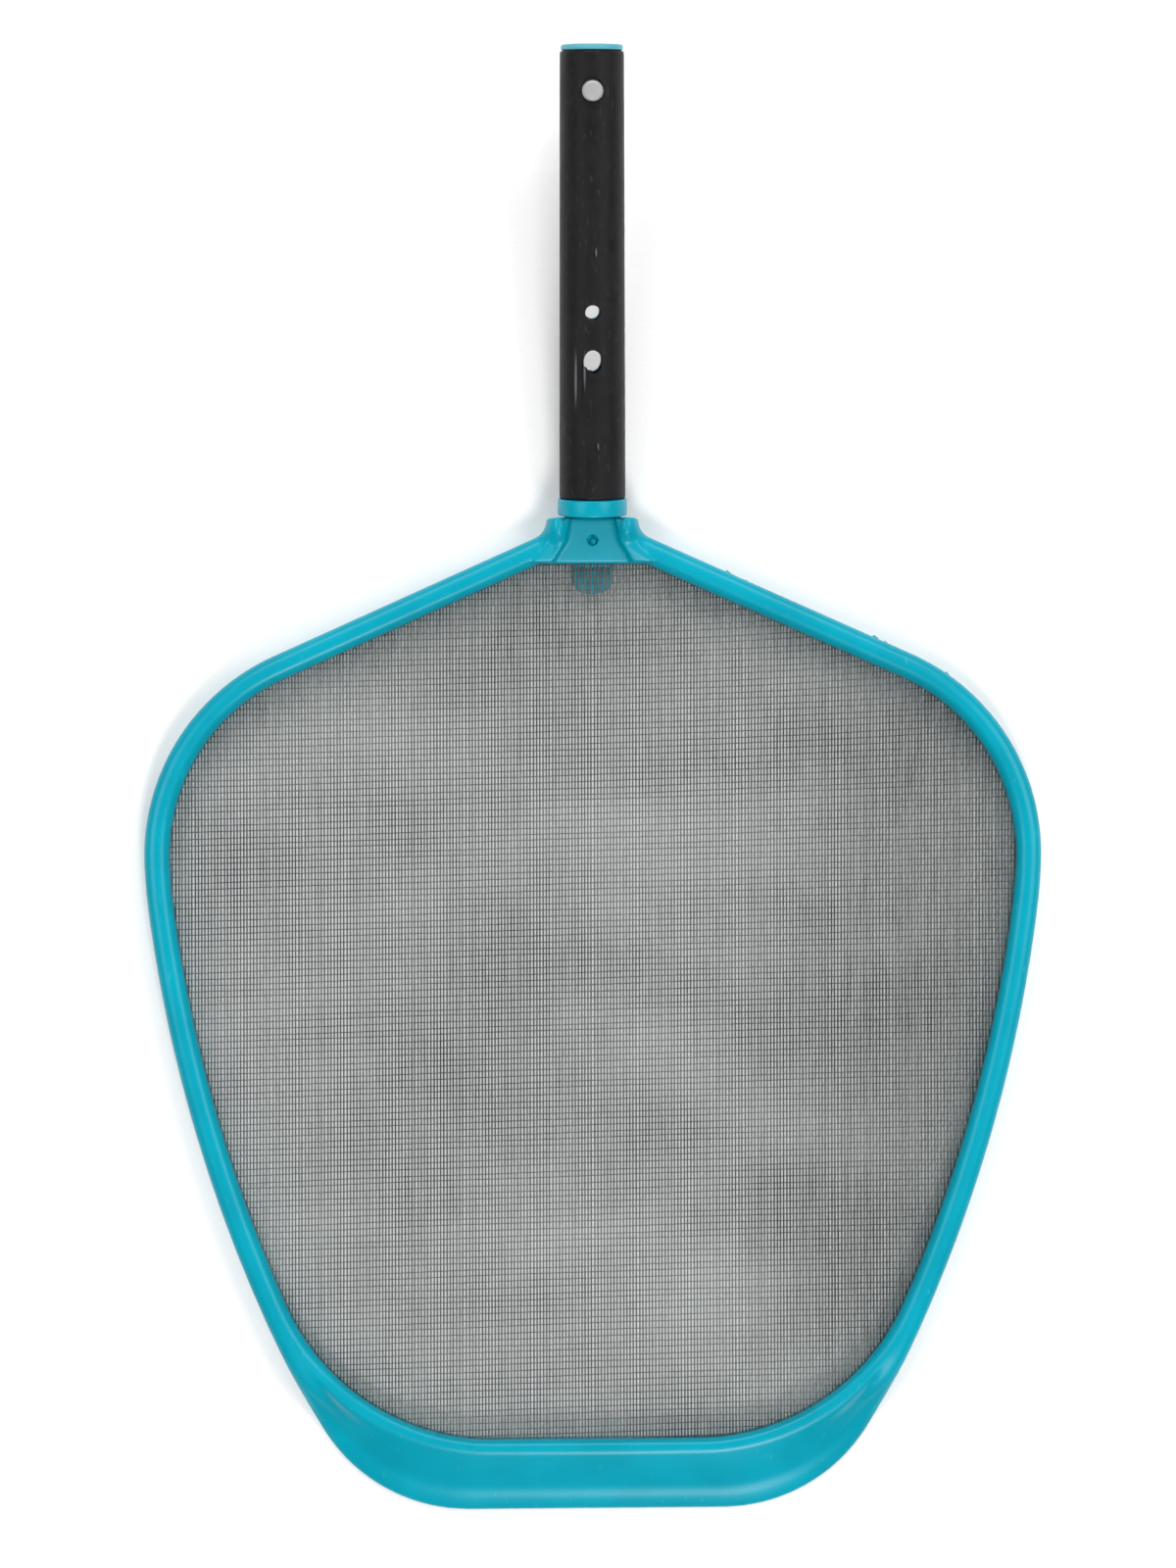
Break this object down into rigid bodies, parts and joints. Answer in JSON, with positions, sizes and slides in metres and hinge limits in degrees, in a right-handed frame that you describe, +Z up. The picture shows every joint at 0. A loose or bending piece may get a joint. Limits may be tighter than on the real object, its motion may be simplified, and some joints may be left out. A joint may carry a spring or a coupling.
{
  "type": "leaf skimmer net",
  "caption": "Flat pool leaf skimmer: a moulded hoop with a scoop lip clamps a woven net; a tubular handle with spring snap buttons plugs into a pole.",
  "frame": {"origin": "middle of the bounding box's bottom face; the net lies flat in the XY plane", "axes": "+Y from the scoop's edge towards the handle, +Z up out of the leaf-lifting face, X across, symmetric left and right"},
  "size_m": [0.401, 0.6495, 0.066],
  "materials": {
    "turquoise_plastic": "satin-gloss moulded polypropylene, turquoise",
    "sleeve_rubber": "dull black rubber sleeve with scuffs and small wrinkles",
    "net": "woven grey monofilament net, about 1.4 by 2.9 mm mesh",
    "spring_steel": "cold-rolled stainless spring strip",
    "button_steel": "turned stainless steel with a bright bevelled rim",
    "screw_steel": "stainless pan-head screw"
  },
  "bodies": {
    "skimmer": {"front_frame": "turquoise_plastic", "rear_frame": "turquoise_plastic", "net_panel": "net", "handle_tube": "turquoise_plastic", "collar_ring": "turquoise_plastic", "grip_sleeve": "sleeve_rubber", "end_ring": "turquoise_plastic", "clip_bend": "spring_steel", "hub_screw_left": "screw_steel", "hub_screw_right": "screw_steel"},
    "front_snap": {"clip_leg_front": "spring_steel", "button_front": "button_steel"},
    "rear_snap": {"clip_leg_rear": "spring_steel", "button_rear": "button_steel"}
  },
  "joints": [
    {"name": "front_button_press", "type": "hinge", "parent": "skimmer", "child": "front_snap", "pos_m": [0, 0.22916, 0.03702], "axis": [-1, 0, 0], "range_deg": [0, 3.1], "stiffness_Nm_per_rad": 3, "springref_deg": -6.88},
    {"name": "rear_button_press", "type": "hinge", "parent": "skimmer", "child": "rear_snap", "pos_m": [0, 0.22982, 0.03328], "axis": [1, 0, 0], "range_deg": [0, 3.1], "stiffness_Nm_per_rad": 3, "springref_deg": -6.88}
  ]
}
